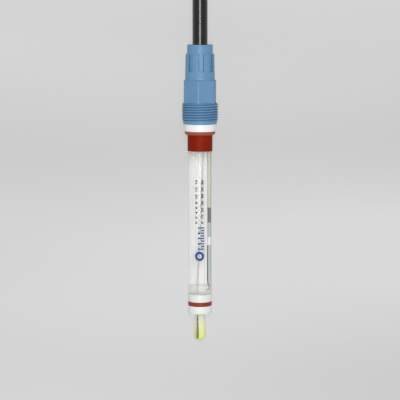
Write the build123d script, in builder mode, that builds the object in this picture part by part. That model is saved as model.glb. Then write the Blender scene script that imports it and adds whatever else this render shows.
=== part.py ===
from build123d import *
import os
from math import asin, atan, atan2, cos, degrees, pi, radians, sin, sqrt, tan

# A combination pH electrode, lying at rest on a bench.
# Frame: +Z up with the bench at z = 0, +Y along the electrode from the bulb to the head,
# and the origin under the middle of the electrode. Lengths are in millimetres.
# A round body can't stand on its bulb, so it rests on its thread and on its lower collar.
# Stations along the electrode are measured from the seat, the face under the thrust washer
# that the process fitting closes on. They grow towards the cable.

# Shaft and sensing bulb
insertion_length = 120.0
shaft_radius = 6.7
shaft_wall = 1.0
bulb_length = 16.3
bulb_radius = 3.7
neck_radius = 3.1
stem_radius = 2.3
glass_wall = 0.45
flare_length = 3.0
bottom_plug_height = 4.95

# Junction at the foot of the shaft
collar_radius = 6.65
collar_height = 4.55
collar_rounding = 0.8
spigot_radius = 4.9
junction_seal_radius = 6.75
junction_seal_height = 2.45
junction_seal_rounding = 0.45
holder_height = 4.25

# Process seal and sleeve
washer_radius = 8.85
washer_thickness = 4.1
washer_rounding = 0.3
seal_radius = 8.6
seal_height = 2.2
seal_rounding = 1.4
sleeve_length = 8.9
sleeve_wall = 0.25

# Head
thread_major_radius = 10.2
thread_depth = 0.67
thread_pitch = 1.411
thread_length = 9.65
thread_crests = 6
run_out_radius = 9.55
run_out_height = 1.9
run_out_chamfer = 0.5
hexagon_across_flats = 17.2
hexagon_height = 13.0
hexagon_corner_rounding = 1.3
hexagon_turn = -6.0
grip_foot_radius = 8.25
grip_top_radius = 8.0
grip_height = 14.35
slot_count = 8
slot_width = 2.6
slot_depth = 0.8
slot_length = 9.85
slot_turn = 4.5
gate_mark_radius = 1.4
gate_mark_depth = 0.12
gate_mark_below_slot = 0.6
cable_collar_radius = 7.13
cable_collar_height = 5.2
cable_collar_rounding = 0.35
tube_socket_depth = 22.0
chamber_radius = 5.9
chamber_height = 13.0

# Stem stopper, at the top of the glass
stopper_height = 7.5
stopper_drop = 0.6

# Inside the stem
lead_radius = 0.42
lead_top_offset = 1.3
lead_foot_offset = -1.1
lead_bend_station = -10.0
lead_bend = 12.0
element_offset = -1.3
element_radius = 0.42
element_tip_radius = 0.62
element_tip_length = 2.6
element_gap_to_bulb = 0.8
element_reach = 4.0
buffer_reach = 10.0

# Reference half cell, at the right of the stem
reference_offset = 4.45
reference_radius = 1.1
reference_wall = 0.2
reference_foot_gap = 0.3
lower_gel_height = 22.65
wick_height = 4.75
upper_gel_height = 8.15
cartridge_height = 8.4
wire_radius = 0.14
wire_inset = 0.72
wire_hook_reach = 0.95
wire_hook_drop = 3.0
wire_bend = 0.35

# Cable
cable_diameter = 8.4
hank_run = 165.0
fold_radius = 25.4
hank_distance = 62.0
hank_near_run = 0.0
hank_step = 34.0
layer_gap = 0.2
tie_thickness = 0.6
tie_width = 9.0
near_tie_distance = 82.0
far_tie_distance = 8.0

# Bayonet plug on the end of the cable
plug_distance = 106.0
nut_radius = 7.25
nut_length = 14.8
nut_bore = 4.95
nut_lip = 1.6
nut_groove_count = 24
nut_groove_depth = 0.35
barrel_radius = 4.9
barrel_length = 4.9
recess_radius = 5.9
recess_length = 3.4
lug_track_depth = 1.35
lug_track_radius = 1.1
lug_track_rise = 4.6
lock_hole_radius = 1.2
flange_radius = 6.0
flange_length = 5.0
contact_radius = 4.05
contact_wall = 0.5
contact_length = 10.6
contact_slot_width = 0.6
contact_slot_length = 6.0
boot_length = 22.0
boot_tail_radius = 5.1
boot_nose_radius = 6.1
boot_rib_count = 4
boot_rib_depth = 0.5
boot_overlap = 8.0
boot_rib_width = 1.6
cable_grip = 19.0
ferrule_length = 14.0
ferrule_wall = 0.7
insulator_base_length = 5.0
insulator_radius = 2.4
insulator_length = 12.4
pin_radius = 0.68
pin_length = 13.4
gasket_thickness = 1.2
ring_thickness = 0.6
ring_depth = 0.45
spring_thickness = 0.4

# Named clearances
bond_gap = 0.05
slip_gap = 0.1
running_gap = 0.05

# Stations that follow from the sizes
tip = -insertion_length
collar_foot = tip + bulb_length
collar_top = collar_foot + collar_height
holder_foot = collar_top + junction_seal_height
tube_foot = holder_foot + holder_height
plug_top = tube_foot + bottom_plug_height
flare_foot = tube_foot + bottom_plug_height / 8
flare_top = flare_foot + flare_length
seal_foot = -seal_height
sleeve_foot = seal_foot - sleeve_length
head_foot = washer_thickness
thread_foot = head_foot + run_out_height
hexagon_foot = thread_foot + thread_length
grip_foot = hexagon_foot + hexagon_height
grip_top = grip_foot + grip_height
head_top = grip_top + cable_collar_height
tube_top = head_foot + tube_socket_depth
chamber_top = tube_top + chamber_height
stopper_top = tube_top - stopper_drop
stopper_foot = stopper_top - stopper_height
shaft_bore = shaft_radius - shaft_wall
cable_radius = cable_diameter / 2

# The electrode's axis leans a little, from the lower collar up to the larger thread
thread_root_radius = thread_major_radius - thread_depth
first_crest = thread_foot + (thread_length - (thread_crests - 1) * thread_pitch) / 2
collar_contact = collar_foot + collar_rounding
lean = atan((thread_major_radius - collar_radius) / (first_crest - collar_contact))
along = Vector(0, cos(lean), sin(lean))
upward = Vector(0, -sin(lean), cos(lean))
seat_height = collar_radius * cos(lean) - collar_contact * sin(lean)
middle = (tip + head_top) / 2
seat = Vector(0, -middle * cos(lean), seat_height)
shaft_axis = Axis(seat, along)
section = Plane(origin=seat, x_dir=(1, 0, 0), z_dir=upward)


def across(station):
    """The plane that cuts the electrode square at a station, looking to the cable."""
    return Plane(origin=seat + along * station, x_dir=(1, 0, 0), z_dir=along)


def beside(offset):
    """A line along the electrode, a distance to the right of its axis."""
    return Axis(seat + Vector(offset, 0, 0), along)


def clock(turn):
    """The angle in an across plane of a direction turned to the right of straight up."""
    return turn - 90


def block(inner, outer, low, high):
    """One side of a ring's section, from radius inner to outer and station low to high."""
    with Locations((inner, low)):
        Rectangle(outer - inner, high - low, align=(Align.MIN, Align.MIN))


def stem_half(inset, high):
    """Half the section of the stem and bulb, set in from the outside of the glass."""
    ball = bulb_radius - inset
    neck = neck_radius - inset
    centre = tip + bulb_radius
    rise = collar_foot - centre
    slope = asin(ball / sqrt(rise**2 + neck**2)) - atan2(neck, rise)
    touch = (ball * cos(slope), centre + ball * sin(slope))
    with BuildSketch(section) as half:
        with BuildLine():
            Polyline(
                (0, high),
                (stem_radius - inset, high),
                (stem_radius - inset, flare_top),
                (neck, flare_foot),
                (neck, collar_foot),
                touch,
            )
            ThreePointArc(
                touch,
                (ball * cos(pi / 4), centre - ball * sin(pi / 4)),
                (0, centre - ball),
            )
            Line((0, centre - ball), (0, high))
        make_face()
    return half.sketch


def rod_path(points, bend):
    """The line of a rod through points of the section plane, rounded where it turns."""
    FilletPolyline(*[section.from_local_coords((x, y, 0)) for x, y in points], radius=bend)


def rod_end(points):
    """The plane of a rod's upper end, looking down the electrode."""
    return Plane(origin=section.from_local_coords((*points[0], 0)), z_dir=-along)


# Head: one moulded piece. A turned body carries the hexagon, whose corners are chamfered
# like a nut's, the ridges of the thread, and slots for the fingers.
hexagon_corner = hexagon_across_flats / sqrt(3)
corner_fall = (hexagon_corner - grip_foot_radius - 0.2) * tan(radians(30))
with BuildPart() as head_cap:
    with BuildSketch(across(hexagon_foot)):
        RegularPolygon(
            hexagon_across_flats / 2, 6, major_radius=False, rotation=clock(hexagon_turn)
        )
        fillet(vertices(), hexagon_corner_rounding)
    extrude(amount=hexagon_height)
    with BuildSketch(section):
        with BuildLine():
            Polyline(
                (0, hexagon_foot),
                (hexagon_corner, hexagon_foot),
                (hexagon_corner, grip_foot - corner_fall),
                (grip_foot_radius + 0.2, grip_foot),
                (0, grip_foot),
                close=True,
            )
        make_face()
    revolve(axis=shaft_axis, mode=Mode.INTERSECT)
    with BuildSketch(section):
        ridges = []
        for crest in range(thread_crests):
            level = first_crest + crest * thread_pitch
            ridges += [
                (thread_root_radius, level - 0.42 * thread_pitch),
                (thread_major_radius, level - 0.1 * thread_pitch),
                (thread_major_radius, level + 0.1 * thread_pitch),
                (thread_root_radius, level + 0.42 * thread_pitch),
            ]
        with BuildLine():
            Polyline(
                (0, head_foot),
                (run_out_radius - run_out_chamfer, head_foot),
                (run_out_radius, head_foot + run_out_chamfer),
                (run_out_radius, thread_foot),
                (thread_root_radius, thread_foot),
                *ridges,
                (thread_root_radius, hexagon_foot),
                (grip_foot_radius, hexagon_foot),
                (grip_foot_radius, grip_foot),
                (grip_top_radius, grip_top),
                (cable_collar_radius, grip_top),
                (cable_collar_radius, head_top),
                (0, head_top),
                close=True,
            )
        make_face()
    revolve(axis=shaft_axis)
    slot_floor = grip_top_radius - slot_depth
    with BuildSketch(across(grip_top - slot_length)):
        with PolarLocations(slot_floor + grip_foot_radius, slot_count, clock(slot_turn)):
            Rectangle(2 * grip_foot_radius, slot_width)
    extrude(amount=slot_length, mode=Mode.SUBTRACT)
    mark_station = grip_top - slot_length - gate_mark_below_slot - gate_mark_radius
    mark_facing = upward.rotate(Axis((0, 0, 0), along), slot_turn)
    mark_plane = Plane(
        origin=seat + along * mark_station + mark_facing * (grip_foot_radius - gate_mark_depth),
        x_dir=along,
        z_dir=mark_facing,
    )
    with BuildSketch(mark_plane):
        Circle(gate_mark_radius)
    extrude(amount=1, mode=Mode.SUBTRACT)
    with BuildSketch(section):
        block(0, shaft_radius + slip_gap, head_foot, tube_top)
        block(0, chamber_radius, tube_top, chamber_top)
        block(0, cable_radius + slip_gap, chamber_top, head_top)
    revolve(axis=shaft_axis, mode=Mode.SUBTRACT)
    rims = edges().filter_by(GeomType.CIRCLE)
    rims = rims.filter_by(lambda rim: abs(rim.radius - cable_collar_radius) < 0.001)
    fillet(rims.sort_by(Axis.Y)[-1], cable_collar_rounding)
head_cap.part.label = "head_cap"

with BuildPart() as head_potting:
    with BuildSketch(section):
        block(0, chamber_radius - bond_gap, tube_top + bond_gap, chamber_top)
    revolve(axis=shaft_axis)
head_potting.part.label = "head_potting"

with BuildPart() as thrust_washer:
    with BuildSketch(section):
        block(shaft_radius + bond_gap, washer_radius, 0, washer_thickness)
    revolve(axis=shaft_axis)
    outer_rims = edges().filter_by(GeomType.CIRCLE)
    outer_rims = outer_rims.filter_by(lambda rim: abs(rim.radius - washer_radius) < 0.001)
    fillet(outer_rims, washer_rounding)
thrust_washer.part.label = "thrust_washer"

with BuildPart() as seal_ring:
    with BuildSketch(section):
        block(shaft_radius + bond_gap, seal_radius, seal_foot, 0)
        fillet(vertices().sort_by(Axis.X)[-2:].sort_by(Axis.Y)[0], seal_rounding)
    revolve(axis=shaft_axis)
seal_ring.part.label = "seal_ring"

with BuildPart() as shaft_sleeve:
    with BuildSketch(section):
        block(
            shaft_radius + bond_gap,
            shaft_radius + bond_gap + sleeve_wall,
            sleeve_foot,
            seal_foot,
        )
    revolve(axis=shaft_axis)
shaft_sleeve.part.label = "shaft_sleeve"

with BuildPart() as shaft_tube:
    with BuildSketch(section):
        block(shaft_bore, shaft_radius, tube_foot, tube_top)
    revolve(axis=shaft_axis)
shaft_tube.part.label = "shaft_tube"

with BuildPart() as bulb_stem:
    revolve(stem_half(0, stopper_top), axis=shaft_axis)
    revolve(stem_half(glass_wall, stopper_top), axis=shaft_axis, mode=Mode.SUBTRACT)
bulb_stem.part.label = "bulb_stem"

# Sensing element: a rod that thickens to a rounded tip, hung beside the axis in the bulb
element_foot = tip + glass_wall + element_gap_to_bulb
element_top = collar_foot + element_reach
tip_shoulder = element_foot + element_tip_length
with BuildPart() as inner_element:
    with BuildSketch(section):
        with BuildLine():
            Polyline(
                (element_offset, element_foot + element_tip_radius),
                (element_offset, element_top),
                (element_offset + element_radius, element_top),
                (element_offset + element_radius, tip_shoulder + element_tip_length),
                (element_offset + element_tip_radius, tip_shoulder),
                (element_offset + element_tip_radius, element_foot + element_tip_radius),
            )
            Line(
                (element_offset + element_tip_radius, element_foot + element_tip_radius),
                (element_offset, element_foot + element_tip_radius),
            )
        make_face()
    revolve(axis=beside(element_offset))
    with BuildSketch(section):
        with BuildLine():
            CenterArc(
                (element_offset, element_foot + element_tip_radius), element_tip_radius, -90, 90
            )
            Polyline(
                (element_offset + element_tip_radius, element_foot + element_tip_radius),
                (element_offset, element_foot + element_tip_radius),
                (element_offset, element_foot),
            )
        make_face()
    revolve(axis=beside(element_offset))
inner_element.part.label = "inner_element"

# Lead in the stem: straight at the top, then slanting down to the sensing element
lead_points = [
    (lead_top_offset, stopper_top),
    (lead_top_offset, lead_bend_station),
    (lead_foot_offset, tube_foot),
    (element_offset, element_top),
]

with BuildPart() as inner_lead:
    with BuildLine():
        rod_path(lead_points, lead_bend)
    with BuildSketch(rod_end(lead_points)):
        Circle(lead_radius)
    sweep()
inner_lead.part.label = "inner_lead"

with BuildPart() as buffer_fill:
    revolve(stem_half(glass_wall + bond_gap, collar_foot + buffer_reach), axis=shaft_axis)
    with BuildSketch(section):
        block(
            element_offset,
            element_offset + element_tip_radius + bond_gap,
            element_foot - bond_gap,
            element_top,
        )
    revolve(axis=beside(element_offset), mode=Mode.SUBTRACT)
    with BuildLine():
        rod_path(lead_points, lead_bend)
    with BuildSketch(rod_end(lead_points)):
        Circle(lead_radius + bond_gap)
    sweep(mode=Mode.SUBTRACT)
buffer_fill.part.label = "buffer_fill"

# Reference half cell: a thin tube with a stack of fillings, foot first
reference_foot = plug_top + reference_foot_gap
wick_foot = reference_foot + lower_gel_height
wick_top = wick_foot + wick_height
cartridge_foot = wick_top + upper_gel_height
cartridge_top = cartridge_foot + cartridge_height
filling_radius = reference_radius - reference_wall - bond_gap
reference_axis = beside(reference_offset)

with BuildPart() as reference_tube:
    with BuildSketch(section):
        block(
            reference_offset + reference_radius - reference_wall,
            reference_offset + reference_radius,
            reference_foot,
            stopper_top,
        )
    revolve(axis=reference_axis)
reference_tube.part.label = "reference_tube"

with BuildPart() as reference_lead:
    with BuildSketch(section):
        block(reference_offset, reference_offset + filling_radius, cartridge_top, stopper_top)
    revolve(axis=reference_axis)
reference_lead.part.label = "reference_lead"

with BuildPart() as reference_cartridge:
    with BuildSketch(section):
        block(reference_offset, reference_offset + filling_radius, cartridge_foot, cartridge_top)
    revolve(axis=reference_axis)
reference_cartridge.part.label = "reference_cartridge"

with BuildPart() as reference_wick:
    with BuildSketch(section):
        block(reference_offset, reference_offset + filling_radius, wick_foot, wick_top)
    revolve(axis=reference_axis)
reference_wick.part.label = "reference_wick"

# Wire: down the left wall of the reference tube, then hooked under its open end
wire_offset = reference_offset - wire_inset
wire_points = [
    (wire_offset, wick_foot),
    (wire_offset, reference_foot + wire_radius),
    (wire_offset + wire_hook_reach, plug_top - wire_hook_drop / 4),
    (wire_offset - wire_hook_reach / 2, plug_top - wire_hook_drop),
]

with BuildPart() as reference_wire:
    with BuildLine():
        rod_path(wire_points, wire_bend)
    with BuildSketch(rod_end(wire_points)):
        Circle(wire_radius)
    sweep()
reference_wire.part.label = "reference_wire"

with BuildPart() as reference_gel:
    with BuildSketch(section):
        block(reference_offset, reference_offset + filling_radius, reference_foot, wick_foot)
        block(reference_offset, reference_offset + filling_radius, wick_top, cartridge_foot)
    revolve(axis=reference_axis)
    with BuildLine():
        rod_path(wire_points, wire_bend)
    with BuildSketch(rod_end(wire_points)):
        Circle(wire_radius + bond_gap)
    sweep(mode=Mode.SUBTRACT)
reference_gel.part.label = "reference_gel"

with BuildPart() as bottom_plug:
    with BuildSketch(section):
        block(0, shaft_bore - bond_gap, tube_foot, plug_top)
    revolve(axis=shaft_axis)
    revolve(stem_half(-bond_gap, stopper_top), axis=shaft_axis, mode=Mode.SUBTRACT)
    with BuildLine():
        rod_path(wire_points, wire_bend)
    with BuildSketch(rod_end(wire_points)):
        Circle(wire_radius + bond_gap)
    sweep(mode=Mode.SUBTRACT)
bottom_plug.part.label = "bottom_plug"

with BuildPart() as electrolyte_gel:
    with BuildSketch(section):
        block(stem_radius + bond_gap, shaft_bore - bond_gap, plug_top, stopper_foot)
    revolve(axis=shaft_axis)
    with BuildSketch(section):
        block(
            reference_offset,
            reference_offset + reference_radius + bond_gap,
            plug_top,
            stopper_foot,
        )
    revolve(axis=reference_axis, mode=Mode.SUBTRACT)
electrolyte_gel.part.label = "electrolyte_gel"

with BuildPart() as stem_stopper:
    with BuildSketch(section):
        block(stem_radius + bond_gap, shaft_bore - bond_gap, stopper_foot, stopper_top)
    revolve(axis=shaft_axis)
    with BuildSketch(section):
        block(
            reference_offset,
            reference_offset + reference_radius + bond_gap,
            stopper_foot,
            stopper_top,
        )
    revolve(axis=reference_axis, mode=Mode.SUBTRACT)
stem_stopper.part.label = "stem_stopper"

# Junction: the lower collar's spigot passes up through the seal and the holder
with BuildPart() as junction_holder:
    with BuildSketch(section):
        block(spigot_radius + bond_gap, shaft_radius, holder_foot, tube_foot)
    revolve(axis=shaft_axis)
junction_holder.part.label = "junction_holder"

with BuildPart() as junction_seal:
    with BuildSketch(section):
        block(spigot_radius + bond_gap, junction_seal_radius, collar_top, holder_foot)
        fillet(vertices().sort_by(Axis.X)[-2:], junction_seal_rounding)
    revolve(axis=shaft_axis)
junction_seal.part.label = "junction_seal"

with BuildPart() as junction_collar:
    with BuildSketch(section):
        block(neck_radius + bond_gap, collar_radius, collar_foot, collar_top)
        fillet(vertices().sort_by(Axis.X)[-2:].sort_by(Axis.Y)[0], collar_rounding)
        block(neck_radius + bond_gap, spigot_radius, collar_top, tube_foot)
    revolve(axis=shaft_axis)
junction_collar.part.label = "junction_collar"

# Cable: out of the head, over the near fold of a hank that lies on the bench in line with
# the electrode, and from the hank's far run back to a plug that lies inside the loop.
# The hank has two layers, but one where the cable comes in and where it leaves.
cable_exit = seat + along * head_top
hank_bottom = tie_thickness + slip_gap
lower_layer = hank_bottom + cable_radius
upper_layer = lower_layer + cable_diameter + layer_gap
both_layers = (lower_layer + upper_layer) / 2
bundle_height = 2 * cable_diameter + layer_gap
far_run = hank_near_run + 2 * fold_radius
fold_centre = hank_near_run + fold_radius
run_start = cable_exit.Y + hank_distance
run_end = run_start + hank_run
step = run_end - hank_step
plug_start = Vector(fold_centre, run_end - plug_distance, nut_radius)
plug_axis = Axis(plug_start, (0, -1, 0))
plug_section = Plane(origin=plug_start, x_dir=(-1, 0, 0), z_dir=(0, 0, 1))

lead_route = [
    seat + along * chamber_top,
    Vector(hank_near_run, cable_exit.Y + 8, cable_exit.Z + 0.3),
    Vector(hank_near_run, cable_exit.Y + 27, cable_exit.Z + 1.0),
    Vector(hank_near_run, cable_exit.Y + 46, upper_layer + 0.2),
    Vector(hank_near_run, run_start - slip_gap, upper_layer),
]
tail_route = [
    Vector(far_run - cable_diameter - layer_gap, run_end - 43, lower_layer),
    Vector(far_run - 17.5, run_end - 61, lower_layer + 0.4),
    Vector(fold_centre + 1.5, run_end - 82, nut_radius - 0.4),
    Vector(fold_centre, run_end - 104, nut_radius),
    Vector(fold_centre, plug_start.Y - cable_grip, nut_radius),
]


def bend_radii(points):
    """The radius of each corner's arc, as large as the two runs beside it allow."""
    radii = []
    for before, here, after in zip(points, points[1:], points[2:]):
        turn = (here - before).get_angle(after - here)
        shorter = min((here - before).length, (after - here).length)
        radii.append(0.45 * shorter / tan(radians(turn / 2)))
    return radii


with BuildPart() as cable_lead:
    with BuildLine() as lead_line:
        FilletPolyline(*lead_route, radius=bend_radii(lead_route))
    with BuildSketch(Plane(origin=lead_route[0], z_dir=along)):
        Circle(cable_radius)
    sweep()
cable_lead.part.label = "cable_lead"

with BuildPart() as cable_hank:
    with BuildLine():
        Line((hank_near_run, run_start, both_layers), (hank_near_run, run_end, both_layers))
        ThreePointArc(
            (hank_near_run, run_end, both_layers),
            (fold_centre, run_end + fold_radius, both_layers),
            (far_run, run_end, both_layers),
        )
        Line((far_run, run_end, both_layers), (far_run, step, both_layers))
    with BuildSketch(
        Plane(origin=(hank_near_run, run_start, both_layers), x_dir=(1, 0, 0), z_dir=(0, 1, 0))
    ):
        SlotOverall(bundle_height, cable_diameter, rotation=90)
    sweep()
    with BuildLine():
        Line((far_run, step, lower_layer), (far_run, run_start, lower_layer))
        ThreePointArc(
            (far_run, run_start, lower_layer),
            (fold_centre, run_start - fold_radius, lower_layer),
            (hank_near_run, run_start, lower_layer),
        )
    with BuildSketch(Plane(origin=(far_run, step, lower_layer), z_dir=(0, -1, 0))):
        Circle(cable_radius)
    sweep()
cable_hank.part.label = "cable_hank"

with BuildPart() as cable_tail:
    with BuildLine() as tail_line:
        FilletPolyline(*tail_route, radius=bend_radii(tail_route))
    with BuildSketch(
        Plane(origin=tail_route[0], z_dir=(tail_route[1] - tail_route[0]).normalized())
    ):
        Circle(cable_radius)
    sweep()
cable_tail.part.label = "cable_tail"

for name, route, line, tube in [
    ("cable_lead", lead_route, lead_line, cable_lead.part),
    ("cable_tail", tail_route, tail_line, cable_tail.part),
]:
    run = sum(edge.length for edge in line.edges())
    share = tube.volume / (pi * cable_radius**2 * run)
    print(name, "radii", [round(radius) for radius in bend_radii(route)])
    print(name, "length", round(run, 1), "volume over section by length", round(share, 4))

with BuildPart() as hank_ties:
    for run, level in [
        (hank_near_run, run_start + near_tie_distance),
        (far_run, run_end - far_tie_distance),
    ]:
        with BuildSketch(
            Plane(origin=(run, level, both_layers), x_dir=(1, 0, 0), z_dir=(0, -1, 0))
        ):
            snug = 2 * slip_gap
            wrap = snug + 2 * tie_thickness
            SlotOverall(bundle_height + wrap, cable_diameter + wrap, rotation=90)
            SlotOverall(
                bundle_height + snug, cable_diameter + snug, rotation=90, mode=Mode.SUBTRACT
            )
        extrude(amount=tie_width / 2, both=True)
hank_ties.part.label = "hank_ties"

# Plug: stations along it are measured forwards from the tail of its boot
ferrule_foot = boot_length - boot_overlap
ferrule_bore = cable_radius + slip_gap
ferrule_radius = ferrule_bore + ferrule_wall
ferrule_top = ferrule_foot + ferrule_length
flange_top = ferrule_top + flange_length
barrel_top = flange_top + barrel_length
contact_top = barrel_top + contact_length
nut_foot = flange_top + slip_gap
lip_top = nut_foot + nut_lip
nut_top = nut_foot + nut_length
spring_foot = lip_top + slip_gap
ring_foot = spring_foot + spring_thickness + slip_gap
insulator_foot = barrel_top - insulator_base_length + 1
contact_bore = contact_radius - contact_wall


def plug_across(station):
    """The plane that cuts the plug square at a station, looking forwards."""
    return Plane(
        origin=plug_start + Vector(0, -station, 0), x_dir=(-1, 0, 0), z_dir=(0, -1, 0)
    )


with BuildPart() as cable_boot:
    with BuildSketch(plug_section):
        with BuildLine():
            Polyline(
                (0, 0),
                (boot_tail_radius, 0),
                (boot_nose_radius, boot_length),
                (0, boot_length),
                close=True,
            )
        make_face()
        for rib in range(boot_rib_count):
            with Locations((boot_tail_radius, (1 + 2 * rib) * boot_rib_width)):
                Rectangle(2 * boot_rib_depth, boot_rib_width, mode=Mode.SUBTRACT)
        block(0, cable_radius + slip_gap / 2, 0, boot_length)
    revolve(axis=plug_axis)
    with BuildSketch(plug_section):
        block(0, cable_radius + slip_gap, 0, ferrule_foot)
        block(0, ferrule_radius + slip_gap, ferrule_foot, boot_length)
    revolve(axis=plug_axis, mode=Mode.SUBTRACT)
cable_boot.part.label = "cable_boot"

with BuildPart() as crimp_ferrule:
    with BuildSketch(plug_section):
        block(ferrule_bore, ferrule_radius, ferrule_foot, ferrule_top)
    revolve(axis=plug_axis)
crimp_ferrule.part.label = "crimp_ferrule"

with BuildPart() as plug_body:
    with BuildSketch(plug_section):
        block(0, ferrule_bore - slip_gap, cable_grip, ferrule_top)
        block(0, flange_radius, ferrule_top, flange_top)
        block(0, barrel_radius, flange_top, barrel_top)
        block(0, contact_radius, barrel_top, contact_top)
        block(0, contact_bore, insulator_foot, contact_top)
    revolve(axis=plug_axis)
    with BuildSketch(plug_section):
        block(0, contact_bore, insulator_foot, contact_top)
        block(
            barrel_radius - ring_depth,
            barrel_radius + 1,
            ring_foot - slip_gap / 2,
            ring_foot + ring_thickness + slip_gap / 2,
        )
    revolve(axis=plug_axis, mode=Mode.SUBTRACT)
    with BuildSketch(plug_across(contact_top)):
        Rectangle(3 * contact_radius, contact_slot_width)
        Rectangle(contact_slot_width, 3 * contact_radius)
    extrude(amount=-contact_slot_length, mode=Mode.SUBTRACT)
plug_body.part.label = "plug_body"

with BuildPart() as plug_insulator:
    with BuildSketch(plug_section):
        block(
            pin_radius + bond_gap,
            contact_bore - bond_gap,
            insulator_foot,
            insulator_foot + insulator_base_length,
        )
        block(
            pin_radius + bond_gap,
            insulator_radius,
            insulator_foot,
            insulator_foot + insulator_length,
        )
    revolve(axis=plug_axis)
plug_insulator.part.label = "plug_insulator"

with BuildPart() as centre_pin:
    with BuildSketch(plug_section):
        block(0, pin_radius, insulator_foot, insulator_foot + pin_length)
        fillet(vertices().sort_by(Axis.X)[0], pin_radius * 0.8)
    revolve(axis=plug_axis)
centre_pin.part.label = "centre_pin"

with BuildPart() as plug_gasket:
    with BuildSketch(plug_section):
        block(
            contact_radius + bond_gap,
            nut_bore - slip_gap,
            barrel_top,
            barrel_top + gasket_thickness,
        )
    revolve(axis=plug_axis)
plug_gasket.part.label = "plug_gasket"

with BuildPart() as retaining_ring:
    with BuildSketch(plug_section):
        block(
            barrel_radius - ring_depth + bond_gap,
            recess_radius - 3 * slip_gap,
            ring_foot,
            ring_foot + ring_thickness,
        )
    revolve(axis=plug_axis)
retaining_ring.part.label = "retaining_ring"

with BuildPart() as wave_washer:
    with BuildSketch(plug_section):
        block(
            barrel_radius + slip_gap,
            recess_radius - slip_gap,
            spring_foot,
            spring_foot + spring_thickness,
        )
    revolve(axis=plug_axis)
wave_washer.part.label = "wave_washer"

# Lug track of the coupling nut: in at the mouth, then a quarter turn down to a lock hole
lug_track_line = nut_bore + lug_track_depth - lug_track_radius
lug_track_start = nut_top - 1.5 * lug_track_radius
with BuildPart() as lug_track:
    with BuildLine() as track_line:
        Helix(
            pitch=4 * lug_track_rise,
            height=lug_track_rise,
            radius=lug_track_line,
            center=plug_across(lug_track_start).origin,
            direction=(0, 1, 0),
        )
    track_in = track_line.line @ 0
    track_out = track_line.line @ 1
    with BuildSketch(Plane(origin=track_in, z_dir=track_line.line % 0)):
        Circle(lug_track_radius)
    sweep(is_frenet=True)
    with BuildSketch(Plane(origin=track_in, z_dir=(0, -1, 0))):
        Circle(lug_track_radius)
    extrude(amount=2 * lug_track_radius)
    lock_centre = Vector(fold_centre, track_out.Y, nut_radius)
    with BuildSketch(Plane(origin=lock_centre, z_dir=track_out - lock_centre)):
        Circle(lock_hole_radius)
    extrude(amount=2 * nut_radius)

# Coupling nut: flutes outside at the back, a recess for the ring and the spring washer,
# and two lug tracks in the bore
with BuildPart() as bayonet_nut:
    with BuildSketch(plug_section):
        block(barrel_radius + running_gap, nut_radius, nut_foot, nut_top)
    revolve(axis=plug_axis)
    with BuildSketch(plug_section):
        block(0, recess_radius, lip_top, lip_top + recess_length)
        block(0, nut_bore, lip_top, nut_top)
    revolve(axis=plug_axis, mode=Mode.SUBTRACT)
    with BuildSketch(plug_across(nut_foot)):
        with PolarLocations(nut_radius, nut_groove_count):
            Circle(nut_groove_depth)
    extrude(amount=nut_length / 2, mode=Mode.SUBTRACT)
    add(lug_track.part, mode=Mode.SUBTRACT)
    add(lug_track.part.rotate(plug_axis, 180), mode=Mode.SUBTRACT)
bayonet_nut.part.label = "bayonet_nut"

finished = [
    head_cap,
    head_potting,
    thrust_washer,
    seal_ring,
    shaft_sleeve,
    shaft_tube,
    stem_stopper,
    bulb_stem,
    buffer_fill,
    inner_element,
    inner_lead,
    electrolyte_gel,
    reference_tube,
    reference_lead,
    reference_cartridge,
    reference_gel,
    reference_wick,
    reference_wire,
    bottom_plug,
    junction_holder,
    junction_seal,
    junction_collar,
    cable_lead,
    cable_hank,
    cable_tail,
    hank_ties,
    cable_boot,
    crimp_ferrule,
    plug_body,
    plug_insulator,
    centre_pin,
    plug_gasket,
    retaining_ring,
    wave_washer,
    bayonet_nut,
]
os.makedirs("parts", exist_ok=True)
for piece in finished:
    export_step(piece.part, f"parts/{piece.part.label}.step")
print("lean", degrees(lean), "seat", seat, "exit", cable_exit, "plug", plug_start)
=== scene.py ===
from math import atan2, cos, pi, radians, sin, sqrt, tan

import bmesh
import bpy
from mathutils import Matrix, Vector


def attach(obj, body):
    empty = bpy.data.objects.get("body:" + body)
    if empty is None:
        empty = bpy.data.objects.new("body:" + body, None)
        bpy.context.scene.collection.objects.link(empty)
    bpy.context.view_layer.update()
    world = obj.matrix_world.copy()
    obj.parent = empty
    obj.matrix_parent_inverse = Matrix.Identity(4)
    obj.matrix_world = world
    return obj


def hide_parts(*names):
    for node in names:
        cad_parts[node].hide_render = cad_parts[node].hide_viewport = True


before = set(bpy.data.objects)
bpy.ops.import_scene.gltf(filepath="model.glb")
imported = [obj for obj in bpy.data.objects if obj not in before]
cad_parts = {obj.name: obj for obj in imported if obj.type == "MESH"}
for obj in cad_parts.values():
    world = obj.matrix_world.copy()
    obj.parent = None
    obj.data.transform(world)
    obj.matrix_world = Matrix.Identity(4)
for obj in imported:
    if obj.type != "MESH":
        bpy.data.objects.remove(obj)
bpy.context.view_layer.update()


# The view: the electrode lies on a pale bench, and the camera hangs high over the cable
# end, so it sees the bulb a little from behind. The seat is the face under the white
# washer, and stations run from it towards the cable, in millimetres.
seat = Vector((0.0, 0.0358814, 0.00995974))
lean = radians(1.8451389)
along = Vector((0, cos(lean), sin(lean)))
upward = Vector((0, -sin(lean), cos(lean)))
electrode = Matrix(
    (
        (0.001, 0, 0, seat.x),
        (0, 0.001 * along.y, 0.001 * upward.y, seat.y),
        (0, 0.001 * along.z, 0.001 * upward.z, seat.z),
        (0, 0, 0, 1),
    )
)
camera_station = 76.0
camera_height = 886.0
camera_tilt = radians(7.398)
focal_pixels = 1585.0

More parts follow.
